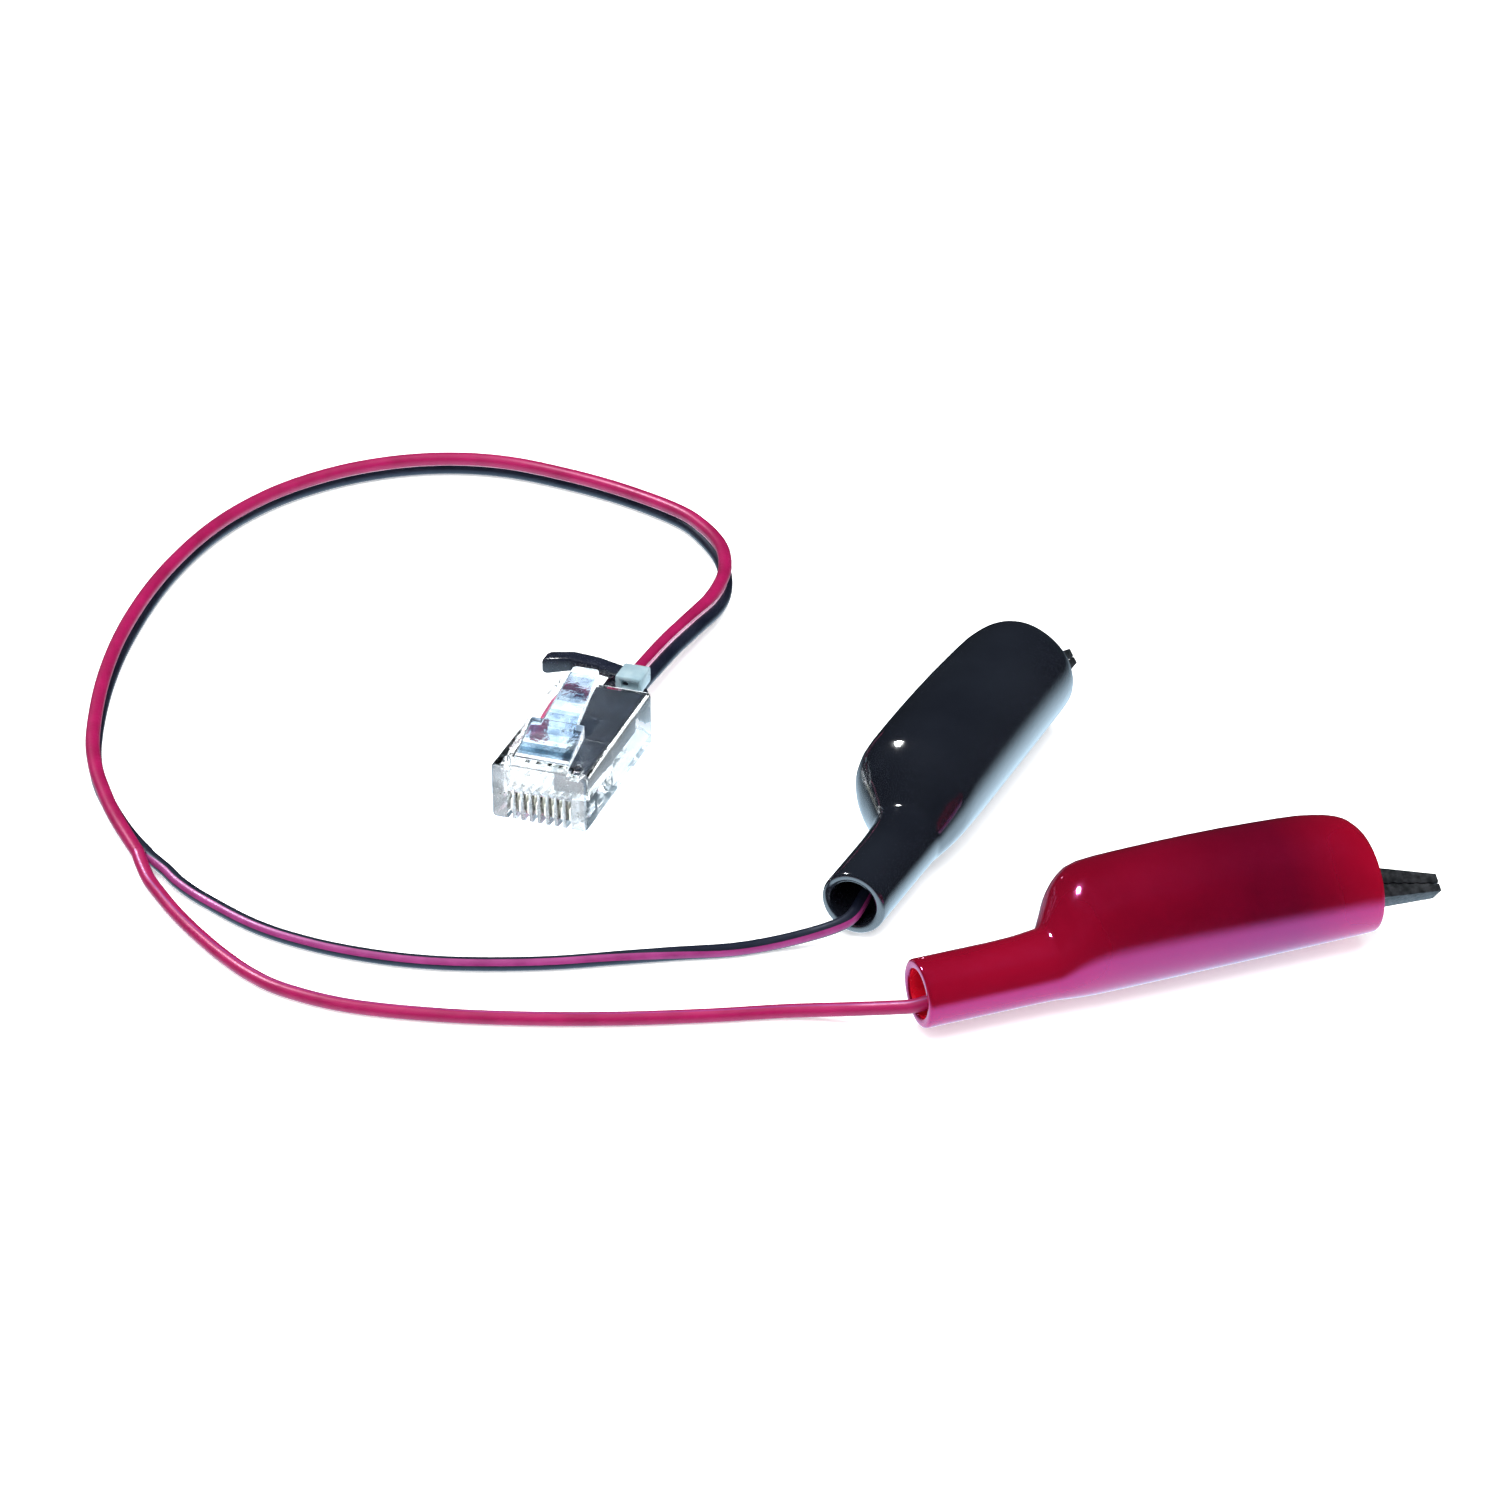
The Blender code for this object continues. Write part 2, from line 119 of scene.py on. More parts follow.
BLACK_ROUTE = (
    (-90.53, -1.0, 1.31),
    (-90.06, -1.91, 1.34),
    (-88.95, -3.45, 1.36),
    (-87.6, -5.2, 1.3),
    (-85.94, -7.45, 1.1),
    (-82.74, -10.55, 0.8),
    (-76.54, -15.95, 0.8),
    (-69.94, -19.55, 0.8),
    (-63.14, -21.85, 0.8),
    (-56.74, -23.05, 0.8),
    (-50.24, -23.35, 0.8),
    (-43.64, -23.05, 0.8),
    (-37.34, -22.15, 0.8),
    (-30.84, -21.25, 0.8),
    (-24.94, -20.55, 0.8),
    (-20.54, -19.45, 0.9),
    (-16.54, -18.65, 1.5),
    (-13.54, -18.25, 2.35),
    (-11.74, -17.35, 2.95),
    (-10.34, -14.45, 3.55),
    (-8.99, -11.25, 4.1),
)

# How the twin cord turns along its length: share of the length, and the angle in
# degrees of the red conductor above the inner side of the loop.
PAIR_TWIST = (
    (0.0, 8.0),
    (0.07, 16.0),
    (0.13, 28.0),
    (0.17, 52.0),
    (0.205, 86.0),
    (0.245, 104.0),
    (0.29, 84.0),
    (0.34, 76.0),
    (0.42, 75.0),
    (0.55, 74.0),
    (0.65, 82.0),
    (0.75, 99.0),
    (0.88, 94.0),
    (0.925, 100.0),
    (0.95, 112.0),
    (0.975, 125.0),
    (1.0, 150.0),
)


# Meshes

SHARP_ANGLE = 38.0
FINE_STEPS = 16


def loft(rings, closed=False):
    """A surface through rings of equal point counts; its ends are capped unless the
    rings close on themselves. The caps are the last two faces."""
    mesh = bmesh.new()
    rows = [[mesh.verts.new(point) for point in ring] for ring in rings]
    count = len(rows[0])
    spans = len(rows) if closed else len(rows) - 1
    for index in range(spans):
        near = rows[index]
        far = rows[(index + 1) % len(rows)]
        for step in range(count):
            after = (step + 1) % count
            mesh.faces.new((near[step], near[after], far[after], far[step]))
    if not closed:
        mesh.faces.new(rows[0])
        mesh.faces.new(rows[-1])
    return mesh


def box(x0, x1, y0, y1, z0, z1):
    rings = []
    for y in (y0, y1):
        rings.append([(x0, y, z0), (x1, y, z0), (x1, y, z1), (x0, y, z1)])
    return loft(rings)


def circle(radius, sides):
    turns = [2.0 * math.pi * step / sides for step in range(sides)]
    return [(radius * math.cos(turn), radius * math.sin(turn)) for turn in turns]


def soften(mesh, width, segments=2, angle=30.0):
    """Rounds every edge sharper than the angle."""
    bmesh.ops.recalc_face_normals(mesh, faces=mesh.faces)
    limit = math.radians(angle)
    sharp = [e for e in mesh.edges if len(e.link_faces) == 2 and e.calc_face_angle() > limit]
    bmesh.ops.bevel(
        mesh,
        geom=sharp,
        offset=width,
        segments=segments,
        profile=0.5,
        affect="EDGES",
        clamp_overlap=True,
    )
    return mesh


def mark_sharp(mesh):
    """Smooth shading, apart from edges sharper than SHARP_ANGLE."""
    limit = math.radians(SHARP_ANGLE)
    for face in mesh.faces:
        face.smooth = True
    for edge in mesh.edges:
        if len(edge.link_faces) == 2 and edge.calc_face_angle() > limit:
            edge.smooth = False


def put(name, mesh, place, finishes, body, nodes):
    """Makes a piece of a mesh that is in its own frame. It rides on the body, unless
    that is None."""
    bmesh.ops.recalc_face_normals(mesh, faces=mesh.faces)
    mark_sharp(mesh)
    mesh.transform(place)
    data = bpy.data.meshes.new(name)
    mesh.to_mesh(data)
    mesh.free()
    for finish in finishes:
        data.materials.append(finish)
    piece = bpy.data.objects.new(name, data)
    bpy.context.scene.collection.objects.link(piece)
    if body:
        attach(piece, body)
    if nodes:
        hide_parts(*nodes)
    return piece


def combined(base, changes):
    """Cuts or joins the meshes in `changes` with the base mesh."""
    made = []
    for index, mesh in enumerate([base] + [mesh for _, mesh in changes]):
        bmesh.ops.recalc_face_normals(mesh, faces=mesh.faces)
        data = bpy.data.meshes.new(f"scratch_{index}")
        mesh.to_mesh(data)
        mesh.free()
        scratch = bpy.data.objects.new(f"scratch_{index}", data)
        bpy.context.scene.collection.objects.link(scratch)
        made.append(scratch)
    for scratch, (operation, _) in zip(made[1:], changes):
        change = made[0].modifiers.new("change", "BOOLEAN")
        change.operation = operation
        change.solver = "EXACT"
        change.object = scratch
    bpy.context.view_layer.update()
    graph = bpy.context.evaluated_depsgraph_get()
    result = bmesh.new()
    result.from_object(made[0], graph)
    bmesh.ops.remove_doubles(result, verts=result.verts, dist=1e-4)
    for scratch in made:
        data = scratch.data
        bpy.data.objects.remove(scratch, do_unlink=True)
        bpy.data.meshes.remove(data)
    return result


def frame_of(at, yaw, roll=0.0, pitch=0.0, seat=0.0):
    """From a sub-assembly's own millimetres to the shared frame in metres; the local
    height `seat` falls on the given point."""
    shift = Matrix.Translation([value * MM for value in at])
    angles = Euler([math.radians(angle) for angle in (-roll, -pitch, yaw)])
    turn = angles.to_matrix().to_4x4()
    return shift @ turn @ Matrix.Scale(MM, 4) @ Matrix.Translation((0.0, 0.0, -seat))


def eased(stations, x):
    """Monotone cubic reading of rows (x, value, value, ...) at x."""
    place = 0
    while place < len(stations) - 2 and stations[place + 1][0] < x:
        place += 1
    found = []
    for column in range(1, len(stations[0])):
        slopes = []
        for index in (place, place + 1):
            around = []
            for low in (index - 1, index):
                if 0 <= low < len(stations) - 1:
                    rise = stations[low + 1][column] - stations[low][column]
                    around.append(rise / (stations[low + 1][0] - stations[low][0]))
            if len(around) == 2 and around[0] * around[1] <= 0:
                slopes.append(0.0)
            elif len(around) == 2:
                slopes.append(2 * around[0] * around[1] / (around[0] + around[1]))
            else:
                slopes.append(around[0])
        x0, x1 = stations[place][0], stations[place + 1][0]
        y0, y1 = stations[place][column], stations[place + 1][column]
        span = x1 - x0
        t = min(max((x - x0) / span, 0.0), 1.0)
        value = y0 * (1 + 2 * t) * (1 - t) ** 2 + y1 * t * t * (3 - 2 * t)
        value += span * (slopes[0] * t * (1 - t) ** 2 - slopes[1] * t * t * (1 - t))
        found.append(value)
    return found[0] if len(found) == 1 else found


def smooth_route(points, spacing):
    """Points at an even spacing on the smooth curve through the route."""
    corners = [Vector(point) for point in points]
    first = corners[0] * 2 - corners[1]
    last = corners[-1] * 2 - corners[-2]
    padded = [first, *corners, last]
    fine = []
    for index in range(1, len(padded) - 2):
        a, b, c, d = padded[index - 1 : index + 3]
        for step in range(FINE_STEPS):
            t = step / FINE_STEPS
            curve = 2 * b + (c - a) * t
            curve += (2 * a - 5 * b + 4 * c - d) * t * t
            curve += (3 * b - a - 3 * c + d) * t * t * t
            fine.append(curve * 0.5)
    fine.append(corners[-1])
    lengths = [0.0]
    for before, after in zip(fine, fine[1:]):
        lengths.append(lengths[-1] + (after - before).length)
    count = max(2, round(lengths[-1] / spacing))
    kept = []
    place = 0
    for step in range(count + 1):
        wanted = lengths[-1] * step / count
        while place < len(fine) - 2 and lengths[place + 1] < wanted:
            place += 1
        share = (wanted - lengths[place]) / (lengths[place + 1] - lengths[place])
        kept.append(fine[place].lerp(fine[place + 1], share))
    return kept, lengths[-1]


def swept(route, section, twist, scale=lambda share: 1.0):
    """An outline (inner side, up) carried along a route, turned by twist(share) and
    sized by scale(share)."""
    rings = []
    for index, point in enumerate(route):
        ahead = route[min(index + 1, len(route) - 1)]
        behind = route[max(index - 1, 0)]
        along = (ahead - behind).normalized()
        side = Vector((0.0, 0.0, 1.0)).cross(along).normalized()
        up = along.cross(side)
        share = index / (len(route) - 1)
        turn = math.radians(twist(share))
        size = scale(share)
        u = side * math.cos(turn) + up * math.sin(turn)
        v = along.cross(u)
        rings.append([point + (u * a + v * b) * size for a, b in section])
    return loft(rings)


# Finishes

# Sockets of a colour Mix node, which share their names with those of its other types.
MIX_A, MIX_B, MIX_RESULT = 6, 7, 2


def darkened(made, attribute, colour):
    """Multiplies a finish by `colour` where the mesh's own attribute is 1."""
    tree = made.node_tree
    base = tree.nodes["Principled BSDF"].inputs["Base Color"]
    plain = base.links[0].from_socket
    amount = tree.nodes.new("ShaderNodeAttribute")
    amount.attribute_name = attribute
    over = tree.nodes.new("ShaderNodeMix")
    over.data_type = "RGBA"
    over.blend_type = "MULTIPLY"
    over.inputs[MIX_B].default_value = (*colour, 1.0)
    tree.links.new(amount.outputs["Fac"], over.inputs["Factor"])
    tree.links.new(plain, over.inputs[MIX_A])
    tree.links.new(over.outputs[MIX_RESULT], base)


def noise_of(tree, scale, detail):
    place = tree.nodes.new("ShaderNodeTexCoord")
    grain = tree.nodes.new("ShaderNodeTexNoise")
    grain.inputs["Scale"].default_value = scale
    grain.inputs["Detail"].default_value = detail
    tree.links.new(place.outputs["Object"], grain.inputs["Vector"])
    return grain


def finish_named(name, colours, patch, rough, grain, bump, metallic=0.0, **settings):
    """Colour drifts between two shades over `patch` metres; roughness and a relief of
    `bump` metres follow a finer grain. Settings name sockets of the main shader."""
    made = bpy.data.materials.new(name)
    made.use_nodes = True
    tree = made.node_tree
    shader = tree.nodes["Principled BSDF"]
    shader.inputs["Metallic"].default_value = metallic
    for socket, value in settings.items():
        shader.inputs[socket.replace("_", " ")].default_value = value
    shades = tree.nodes.new("ShaderNodeMix")
    shades.data_type = "RGBA"
    shades.inputs[MIX_A].default_value = (*colours[0], 1.0)
    shades.inputs[MIX_B].default_value = (*colours[1], 1.0)
    drift = noise_of(tree, 1.0 / patch, 4.0)
    spread = tree.nodes.new("ShaderNodeMapRange")
    spread.inputs["From Min"].default_value = 0.35
    spread.inputs["From Max"].default_value = 0.65
    tree.links.new(drift.outputs["Fac"], spread.inputs["Value"])
    tree.links.new(spread.outputs["Result"], shades.inputs["Factor"])
    tree.links.new(shades.outputs[MIX_RESULT], shader.inputs["Base Color"])
    fine = noise_of(tree, 1.0 / grain, 3.0)
    dull = tree.nodes.new("ShaderNodeMapRange")
    dull.inputs["From Min"].default_value = 0.3
    dull.inputs["From Max"].default_value = 0.7
    dull.inputs["To Min"].default_value = rough[0]
    dull.inputs["To Max"].default_value = rough[1]
    tree.links.new(fine.outputs["Fac"], dull.inputs["Value"])
    tree.links.new(dull.outputs["Result"], shader.inputs["Roughness"])
    relief = tree.nodes.new("ShaderNodeBump")
    relief.inputs["Strength"].default_value = 1.0
    relief.inputs["Distance"].default_value = bump
    tree.links.new(fine.outputs["Fac"], relief.inputs["Height"])
    tree.links.new(relief.outputs["Normal"], shader.inputs["Normal"])
    return made


CLEAR = finish_named(
    "clear_polycarbonate",
    colours=((0.90, 0.955, 0.975), (0.955, 0.98, 0.99)),
    patch=0.004,
    rough=(0.0, 0.05),
    grain=0.0011,
    bump=0.00003,
    IOR=1.45,
    Transmission_Weight=1.0,
)
# Clear plastic painted whitish, as painted light on the latch lever.
LATCH_PAINTED_LIGHT = finish_named(
    "clear_polycarbonate_painted_light",
    colours=((0.50, 0.62, 0.72), (0.88, 0.94, 0.97)),
    patch=0.0018,
    rough=(0.02, 0.12),
    grain=0.0009,
    bump=0.00006,
    IOR=1.45,
    Transmission_Weight=0.97,
)
# Clear plastic painted blue-grey, as painted shade on the latch lever.
LATCH_PAINTED_SHADE = finish_named(
    "clear_polycarbonate_painted_shade",
    colours=((0.14, 0.22, 0.34), (0.50, 0.60, 0.72)),
    patch=0.0018,
    rough=(0.02, 0.1),
    grain=0.0009,
    bump=0.00006,
    IOR=1.45,
    Transmission_Weight=0.97,
)
# Clear plastic painted dark blue, a painted shadow where the latch lever bends over its root.
LATCH_BEND_SHADOW = finish_named(
    "clear_polycarbonate_painted_bend_shadow",
    colours=((0.03, 0.07, 0.12), (0.16, 0.27, 0.38)),
    patch=0.0018,
    rough=(0.02, 0.1),
    grain=0.0009,
    bump=0.00004,
    IOR=1.45,
    Transmission_Weight=0.9,
)
# Clear plastic painted pale, a painted highlight on the latch lever's edges.
LATCH_EDGE_HIGHLIGHT = finish_named(
    "polycarbonate_painted_edge_highlight",
    colours=((0.80, 0.88, 0.92), (0.95, 0.98, 1.0)),
    patch=0.0012,
    rough=(0.15, 0.4),
    grain=0.0006,
    bump=0.00003,
    IOR=1.45,
    Transmission_Weight=0.4,
)
# Clear plastic painted bluish grey, painted shade on the nose's corner posts.
NOSE_POST_SHADE = finish_named(
    "polycarbonate_nose_post_painted_shade",
    colours=((0.46, 0.62, 0.78), (0.74, 0.86, 0.95)),
    patch=0.0016,
    rough=(0.08, 0.25),
    grain=0.0006,
    bump=0.00003,
    IOR=1.45,
    Transmission_Weight=0.8,
)
# Clear plastic painted pale grey, painted shade on the nose's front between the posts.
NOSE_COMB_SHADE = finish_named(
    "polycarbonate_nose_comb_painted_shade",
    colours=((0.74, 0.82, 0.88), (0.92, 0.96, 0.99)),
    patch=0.0012,
    rough=(0.1, 0.3),
    grain=0.0006,
    bump=0.00003,
    IOR=1.45,
    Transmission_Weight=0.76,
)
GOLD = finish_named(
    "gold_plate",
    colours=((0.84, 0.79, 0.67), (0.93, 0.91, 0.83)),
    patch=0.0008,
    rough=(0.25, 0.45),
    grain=0.0002,
    bump=0.000004,
    metallic=0.7,
)
RED_SKIN = finish_named(
    "red_dipped_vinyl",
    colours=((0.20, 0.0016, 0.011), (0.25, 0.0024, 0.015)),
    patch=0.012,
    rough=(0.07, 0.12),
    grain=0.0012,
    bump=0.000012,
    IOR=2.62,
    Specular_Tint=(1.0, 0.17, 0.63, 1.0),
)
# Painted shade on the red boot, darker along its middle and towards the front; part of it is
# the metal inside showing through the vinyl.
darkened(RED_SKIN, "painted_shade_and_metal", (0.25, 0.3, 0.6))
BLACK_SKIN = finish_named(
    "black_dipped_vinyl",
    colours=((0.0050, 0.0062, 0.010), (0.008, 0.010, 0.015)),
    patch=0.012,
    rough=(0.07, 0.12),
    grain=0.0012,
    bump=0.000012,
    IOR=2.3,
)
# The red boot's inside: the same vinyl painted lighter, as painted light coming in through the
# mouth.
RED_INSIDE_LIT = finish_named(
    "red_vinyl_inside_painted_light",
    colours=((0.52, 0.003, 0.016), (0.62, 0.006, 0.024)),
    patch=0.012,
    rough=(0.2, 0.3),
    grain=0.0012,
    bump=0.000012,
    IOR=1.5,
)
BLACK_LINING = finish_named(
    "black_vinyl_lining",
    colours=((0.006, 0.007, 0.011), (0.010, 0.012, 0.018)),
    patch=0.012,
    rough=(0.2, 0.3),
    grain=0.0012,
    bump=0.000012,
    IOR=1.5,
)
RED_WIRE = finish_named(
    "red_pvc",
    colours=((0.20, 0.0032, 0.045), (0.26, 0.0045, 0.062)),
    patch=0.004,
    rough=(0.32, 0.46),
    grain=0.0004,
    bump=0.000008,
    IOR=1.53,
    Specular_Tint=(1.0, 0.55, 0.78, 1.0),
)
BLACK_WIRE = finish_named(
    "black_pvc",
    colours=((0.004, 0.005, 0.012), (0.008, 0.010, 0.019)),
    patch=0.004,
    rough=(0.32, 0.46),
    grain=0.0004,
    bump=0.000008,
    IOR=1.48,
    Specular_Tint=(0.7, 0.8, 1.0, 1.0),
)
# Pale pink along the join of the twin cord's lobes: a painted highlight.
WEB_HIGHLIGHT = finish_named(
    "pale_web_painted_highlight",
    colours=((0.55, 0.28, 0.40), (0.66, 0.42, 0.54)),
    patch=0.003,
    rough=(0.2, 0.34),
    grain=0.0004,
    bump=0.000006,
    IOR=1.53,
)
# Pink band on the legs: a painted highlight along the red leg, a stripe along the black leg.
STRIPE_AND_HIGHLIGHT = finish_named(
    "pink_stripe_and_highlight",
    colours=((0.18, 0.018, 0.10), (0.24, 0.03, 0.14)),
    patch=0.003,
    rough=(0.32, 0.46),
    grain=0.0004,
    bump=0.000006,
    IOR=1.53,
    Specular_Tint=(0.9, 0.6, 1.0, 1.0),
)
STEEL = finish_named(
    "blackened_steel",
    colours=((0.012, 0.014, 0.016), (0.045, 0.048, 0.054)),
    patch=0.0007,
    rough=(0.45, 0.65),
    grain=0.0003,
    bump=0.00003,
    metallic=0.6,
)
BRIGHT_STEEL = finish_named(
    "spring_steel",
    colours=((0.42, 0.43, 0.45), (0.55, 0.56, 0.58)),
    patch=0.002,
    rough=(0.18, 0.3),
    grain=0.0003,
    bump=0.000006,
    metallic=1.0,
)
COPPER = finish_named(
    "bare_copper",
    colours=((0.72, 0.36, 0.2), (0.80, 0.45, 0.28)),
    patch=0.001,
    rough=(0.2, 0.36),
    grain=0.0003,
    bump=0.000006,
    metallic=1.0,
)
STRAP = finish_named(
    "dark_nylon",
    colours=((0.006, 0.008, 0.016), (0.012, 0.015, 0.026)),
    patch=0.002,
    rough=(0.16, 0.3),
    grain=0.0005,
    bump=0.00001,
    IOR=1.53,
)
SLEEVE = finish_named(
    "black_sleeve",
    colours=((0.002, 0.004, 0.009), (0.010, 0.014, 0.024)),
    patch=0.003,
    rough=(0.4, 0.6),
    grain=0.0006,
    bump=0.00002,
    IOR=1.5,
    Specular_IOR_Level=0.15,
)
# The cable tie's head: painted pale bluish as a painted reflection; the tie itself is dark.
TIE_HEAD_REFLECTION = finish_named(
    "nylon_painted_reflection",
    colours=((0.30, 0.44, 0.50), (0.42, 0.56, 0.62)),
    patch=0.002,
    rough=(0.12, 0.22),
    grain=0.0005,
    bump=0.00001,
    IOR=1.53,
    Transmission_Weight=0.35,
)


# Camera, floor and light

LOOK_AT = Vector((-0.02274, 0.024, 0.0))
CAMERA_ELEVATION = 30.14
CAMERA_DISTANCE = 0.5132


def add_camera():
    data = bpy.data.cameras.new("camera")
    data.lens = 105.0
    data.sensor_width = 36.0
    data.clip_start = 0.01
    camera = bpy.data.objects.new("camera", data)
    bpy.context.scene.collection.objects.link(camera)
    rise = math.radians(CAMERA_ELEVATION)
    away = Vector((0.0, -math.cos(rise), math.sin(rise)))
    camera.location = LOOK_AT + away * CAMERA_DISTANCE
    camera.rotation_euler = (math.radians(90.0 - CAMERA_ELEVATION), 0.0, 0.0)
    bpy.context.scene.camera = camera


PALE = (1.0, 1.0, 1.0)
FLOOR_REACH = 2.5
# Just under the object, so that nothing lies in the floor's own plane.
FLOOR_HEIGHT = -0.00004
# Distances from the middle between which the floor fades into the backdrop.
FADE_START, FADE_END = 0.25, 0.6
LIGHTS_AIM = Vector((-0.02, 0.02, 0.0))


def mixed(tree, share, first, second):
    """A shader that turns from the first to the second as the share goes from 0 to 1."""
    mix = tree.nodes.new("ShaderNodeMixShader")
    tree.links.new(share, mix.inputs[0])
    tree.links.new(first, mix.inputs[1])
    tree.links.new(second, mix.inputs[2])
    return mix.outputs[0]


def by_ray(tree, kinds, plain, seen, weight=1.0):
    """A shader that is `seen` by the first kind of ray, by the other kinds in the
    given weight, and `plain` to the rest."""
    path = tree.nodes.new("ShaderNodeLightPath")
    chosen = path.outputs[kinds[0]]
    for kind in kinds[1:]:
        share = tree.nodes.new("ShaderNodeMath")
        share.operation = "MULTIPLY"
        share.inputs[1].default_value = weight
        tree.links.new(path.outputs[kind], share.inputs[0])
        either = tree.nodes.new("ShaderNodeMath")
        either.operation = "MAXIMUM"
        tree.links.new(chosen, either.inputs[0])
        tree.links.new(share.outputs[0], either.inputs[1])
        chosen = either.outputs[0]
    return mixed(tree, chosen, plain, seen)


def ramp_of(tree, value, low, high):
    """A smooth rise from 0 at `low` to 1 at `high`, whichever is the larger."""
    ramp = tree.nodes.new("ShaderNodeMapRange")
    ramp.interpolation_type = "SMOOTHSTEP"
    ramp.inputs["From Min"].default_value = low
    ramp.inputs["From Max"].default_value = high
    tree.links.new(value, ramp.inputs["Value"])
    return ramp.outputs["Result"]


def add_floor():
    """A pale table; far out, what the camera sees of it fades into the pale backdrop."""
    mesh = bmesh.new()
    corners = ((-1, -1), (1, -1), (1, 1), (-1, 1))
    places = [(x * FLOOR_REACH, y * FLOOR_REACH, FLOOR_HEIGHT) for x, y in corners]
    mesh.faces.new([mesh.verts.new(place) for place in places])
    data = bpy.data.meshes.new("floor")
    mesh.to_mesh(data)
    mesh.free()
    floor = bpy.data.objects.new("floor", data)
    bpy.context.scene.collection.objects.link(floor)
    made = bpy.data.materials.new("pale_floor")
    made.use_nodes = True
    tree = made.node_tree
    shader = tree.nodes["Principled BSDF"]
    shader.inputs["Base Color"].default_value = (0.93, 0.94, 0.95, 1.0)
    shader.inputs["Roughness"].default_value = 0.9
    shader.inputs["Specular IOR Level"].default_value = 0.1
    shader.inputs["Emission Color"].default_value = (1.0, 1.0, 1.0, 1.0)
    shader.inputs["Emission Strength"].default_value = 0.45
    pale = tree.nodes.new("ShaderNodeEmission")
    pale.inputs["Color"].default_value = (*PALE, 1.0)
    spot = tree.nodes.new("ShaderNodeNewGeometry")
    reached = tree.nodes.new("ShaderNodeVectorMath")
    reached.operation = "LENGTH"
    tree.links.new(spot.outputs["Position"], reached.inputs[0])
    fade = ramp_of(tree, reached.outputs["Value"], FADE_START, FADE_END)
    fading = mixed(tree, fade, shader.outputs[0], pale.outputs[0])
    shown = by_ray(tree, ["Is Camera Ray"], shader.outputs[0], fading)
    tree.links.new(shown, tree.nodes["Material Output"].inputs["Surface"])
    data.materials.append(made)
    floor.visible_glossy = False


def background(tree, colour, strength):
    glow = tree.nodes.new("ShaderNodeBackground")
    glow.inputs["Color"].default_value = (*colour, 1.0)
    glow.inputs["Strength"].default_value = strength
    return glow.outputs[0]


def add_world():
    """Dim all round. Shiny pieces see a pale table below that darkens towards the back,
    what is seen through the clear plug is pale, and the camera sees a pale backdrop."""
    world = bpy.data.worlds.new("studio")
    bpy.context.scene.world = world
    world.use_nodes = True
    tree = world.node_tree
    tree.nodes.remove(tree.nodes["Background"])
    dim = background(tree, (0.75, 0.85, 1.0), 0.06)
    clear = background(tree, (0.86, 0.94, 1.0), 0.95)
    dark = background(tree, (0.7, 0.85, 1.0), 0.02)
    table = background(tree, (0.62, 0.83, 1.0), 2.0)
    backdrop = background(tree, PALE, 1.0)
    way = tree.nodes.new("ShaderNodeTexCoord")
    parts = tree.nodes.new("ShaderNodeSeparateXYZ")
    tree.links.new(way.outputs["Generated"], parts.inputs[0])
    below = ramp_of(tree, parts.outputs["Z"], -0.15, -0.6)
    near = ramp_of(tree, parts.outputs["Y"], 0.95, 0.74)
    share = tree.nodes.new("ShaderNodeMath")
    share.operation = "MULTIPLY"
    tree.links.new(below, share.inputs[0])
    tree.links.new(near, share.inputs[1])
    glossy = mixed(tree, share.outputs[0], dark, table)
    seen = by_ray(tree, ["Is Glossy Ray"], dim, glossy)
    both = by_ray(tree, ["Is Transmission Ray", "Transmission Depth"], seen, clear, 0.1)
    shown = by_ray(tree, ["Is Camera Ray"], both, backdrop)
    tree.links.new(shown, tree.nodes["World Output"].inputs["Surface"])


def add_lamp(name, place, size, power, glossy):
    """A disk lamp that either lights surfaces or shows in shiny ones, not both."""
    data = bpy.data.lights.new(name, "AREA")
    data.shape = "DISK"
    data.size = size
    data.energy = power
    lamp = bpy.data.objects.new(name, data)
    bpy.context.scene.collection.objects.link(lamp)
    lamp.location = place
    aim = LIGHTS_AIM - Vector(place)
    lamp.rotation_euler = aim.to_track_quat("-Z", "Y").to_euler()
    lamp.visible_diffuse = not glossy
    lamp.visible_glossy = glossy
    lamp.visible_transmission = glossy


add_camera()
add_floor()
add_world()
add_lamp("soft_top", (0.0, 0.0, 1.1), 1.6, 34.0, False)
add_lamp("soft_front", (-0.5, -0.8, 0.7), 0.8, 7.0, False)
add_lamp("soft_right", (0.9, -0.1, 0.35), 0.5, 3.0, False)
add_lamp("small_key", (-0.86, 0.42, 1.04), 0.22, 25.0, True)
bpy.context.scene.view_settings.view_transform = "Standard"


# Cord


def by_angle(count, spans):
    """Material index for each strip of a round section, from spans (from, to, index)
    in degrees."""
    chosen = []
    for step in range(count):
        middle = 360.0 * (step + 0.5) / count
        found = 0
        for low, high, index in spans:
            if low <= middle < high or low <= middle - 360.0 < high:
                found = index
        chosen.append(found)
    return chosen


def paint_strips(mesh, strips):
    """Gives the strips round a swept section their material indices."""
    mesh.faces.ensure_lookup_table()
    count = len(strips)
    for index, face in enumerate(mesh.faces[:-2]):
        face.material_index = strips[index % count]


